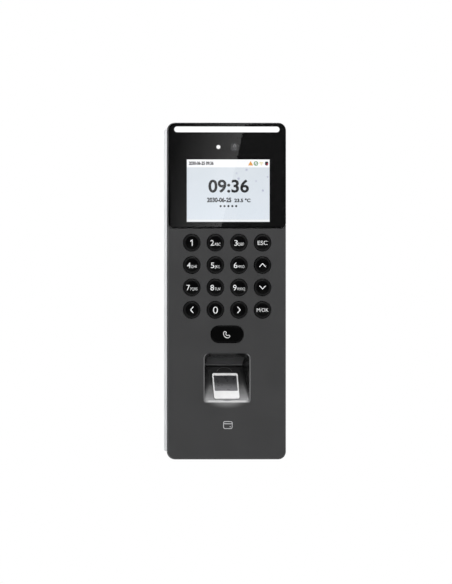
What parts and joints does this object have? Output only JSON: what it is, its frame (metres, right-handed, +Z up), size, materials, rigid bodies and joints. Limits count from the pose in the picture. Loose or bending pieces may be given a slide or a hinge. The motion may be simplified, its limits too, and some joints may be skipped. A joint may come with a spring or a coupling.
{
  "type": "fingerprint access terminal",
  "caption": "Tall wall terminal with a lens-covered colour display, camera, light bar, round-key keypad, call key and a sloped finger recess with a fingerprint sensor, on a steel wall bracket.",
  "frame": {"origin": "middle of the wall screw pattern, on the bracket's back face", "axes": "+X right and +Z up as the user sees it, +Y into the wall, so the front faces -Y"},
  "size_m": [0.0694, 0.0228, 0.197],
  "materials": {
    "dark_plastic": "fine texture",
    "light_plastic": "fine texture",
    "seal_rubber": "matt",
    "lens": "polished",
    "black_film": "matt",
    "white_diffuser": "satin",
    "circuit_board": "solder mask",
    "light_chip": "clear",
    "display": "satin",
    "white_plastic": "satin",
    "steel": "plain",
    "ribbon": "film",
    "black_plastic": "moulded",
    "camera_glass": "coated",
    "mat_rubber": "matt",
    "brass_pin": "plated",
    "gloss_black": "gloss",
    "sensor_metal": "bright",
    "sensor_glass": "coated",
    "copper": "track",
    "red_plastic": "moulded",
    "bracket_steel": "zinc plated",
    "key_black": "gloss"
  },
  "bodies": {
    "terminal": {"front_housing": "dark_plastic", "rear_housing": "light_plastic", "housing_seal": "seal_rubber", "lens_panel": "lens", "lens_adhesive": "black_film", "light_bar_diffuser": "white_diffuser", "light_bar_board": "circuit_board", "light_bar_chips": "light_chip", "display_panel": "display", "display_backlight": "white_plastic", "display_bracket": "steel", "display_ribbon": "ribbon", "camera_barrel": "black_plastic", "camera_glass": "camera_glass", "camera_holder": "black_plastic", "camera_board": "circuit_board", "fill_light_pipe": "white_diffuser", "fill_light_chip": "light_chip", "keypad_mat": "mat_rubber", "keypad_board": "circuit_board", "board_connector": "white_plastic", "main_board": "circuit_board", "main_board_chips": "black_plastic", "clock_cell": "steel", "wiring_headers": "white_plastic", "header_pins": "brass_pin", "finger_guide": "gloss_black", "sensor_frame": "sensor_metal", "sensor_window": "sensor_glass", "sensor_block": "black_plastic", "sensor_board": "circuit_board", "sensor_ribbon": "ribbon", "antenna_board": "circuit_board", "antenna_coil": "copper", "speaker": "black_plastic", "microphone": "steel", "tamper_switch": "black_plastic", "board_screws": "steel", "main_board_screws": "steel", "case_screws": "steel", "wall_bracket": "bracket_steel", "locking_screw": "steel"},
    "key_1": {"key_1": "key_black"},
    "key_2": {"key_2": "key_black"},
    "key_3": {"key_3": "key_black"},
    "key_esc": {"key_esc": "key_black"},
    "key_4": {"key_4": "key_black"},
    "key_5": {"key_5": "key_black"},
    "key_6": {"key_6": "key_black"},
    "key_up": {"key_up": "key_black"},
    "key_7": {"key_7": "key_black"},
    "key_8": {"key_8": "key_black"},
    "key_9": {"key_9": "key_black"},
    "key_down": {"key_down": "key_black"},
    "key_left": {"key_left": "key_black"},
    "key_0": {"key_0": "key_black"},
    "key_right": {"key_right": "key_black"},
    "key_ok": {"key_ok": "key_black"},
    "call_key": {"call_key": "key_black"},
    "tamper_plunger": {"tamper_plunger": "red_plastic"}
  },
  "joints": [
    {"name": "key_1_press", "type": "slide", "parent": "terminal", "child": "key_1", "axis": [0, 1, 0], "range_m": [0, 0.0007], "stiffness_N_per_m": 400},
    {"name": "key_2_press", "type": "slide", "parent": "terminal", "child": "key_2", "axis": [0, 1, 0], "range_m": [0, 0.0007], "stiffness_N_per_m": 400},
    {"name": "key_3_press", "type": "slide", "parent": "terminal", "child": "key_3", "axis": [0, 1, 0], "range_m": [0, 0.0007], "stiffness_N_per_m": 400},
    {"name": "key_esc_press", "type": "slide", "parent": "terminal", "child": "key_esc", "axis": [0, 1, 0], "range_m": [0, 0.0007], "stiffness_N_per_m": 400},
    {"name": "key_4_press", "type": "slide", "parent": "terminal", "child": "key_4", "axis": [0, 1, 0], "range_m": [0, 0.0007], "stiffness_N_per_m": 400},
    {"name": "key_5_press", "type": "slide", "parent": "terminal", "child": "key_5", "axis": [0, 1, 0], "range_m": [0, 0.0007], "stiffness_N_per_m": 400},
    {"name": "key_6_press", "type": "slide", "parent": "terminal", "child": "key_6", "axis": [0, 1, 0], "range_m": [0, 0.0007], "stiffness_N_per_m": 400},
    {"name": "key_up_press", "type": "slide", "parent": "terminal", "child": "key_up", "axis": [0, 1, 0], "range_m": [0, 0.0007], "stiffness_N_per_m": 400},
    {"name": "key_7_press", "type": "slide", "parent": "terminal", "child": "key_7", "axis": [0, 1, 0], "range_m": [0, 0.0007], "stiffness_N_per_m": 400},
    {"name": "key_8_press", "type": "slide", "parent": "terminal", "child": "key_8", "axis": [0, 1, 0], "range_m": [0, 0.0007], "stiffness_N_per_m": 400},
    {"name": "key_9_press", "type": "slide", "parent": "terminal", "child": "key_9", "axis": [0, 1, 0], "range_m": [0, 0.0007], "stiffness_N_per_m": 400},
    {"name": "key_down_press", "type": "slide", "parent": "terminal", "child": "key_down", "axis": [0, 1, 0], "range_m": [0, 0.0007], "stiffness_N_per_m": 400},
    {"name": "key_left_press", "type": "slide", "parent": "terminal", "child": "key_left", "axis": [0, 1, 0], "range_m": [0, 0.0007], "stiffness_N_per_m": 400},
    {"name": "key_0_press", "type": "slide", "parent": "terminal", "child": "key_0", "axis": [0, 1, 0], "range_m": [0, 0.0007], "stiffness_N_per_m": 400},
    {"name": "key_right_press", "type": "slide", "parent": "terminal", "child": "key_right", "axis": [0, 1, 0], "range_m": [0, 0.0007], "stiffness_N_per_m": 400},
    {"name": "key_ok_press", "type": "slide", "parent": "terminal", "child": "key_ok", "axis": [0, 1, 0], "range_m": [0, 0.0007], "stiffness_N_per_m": 400},
    {"name": "call_key_press", "type": "slide", "parent": "terminal", "child": "call_key", "axis": [0, 1, 0], "range_m": [0, 0.0007], "stiffness_N_per_m": 400},
    {"name": "tamper_press", "type": "slide", "parent": "terminal", "child": "tamper_plunger", "axis": [0, -1, 0], "range_m": [0, 0.0008], "stiffness_N_per_m": 200}
  ]
}
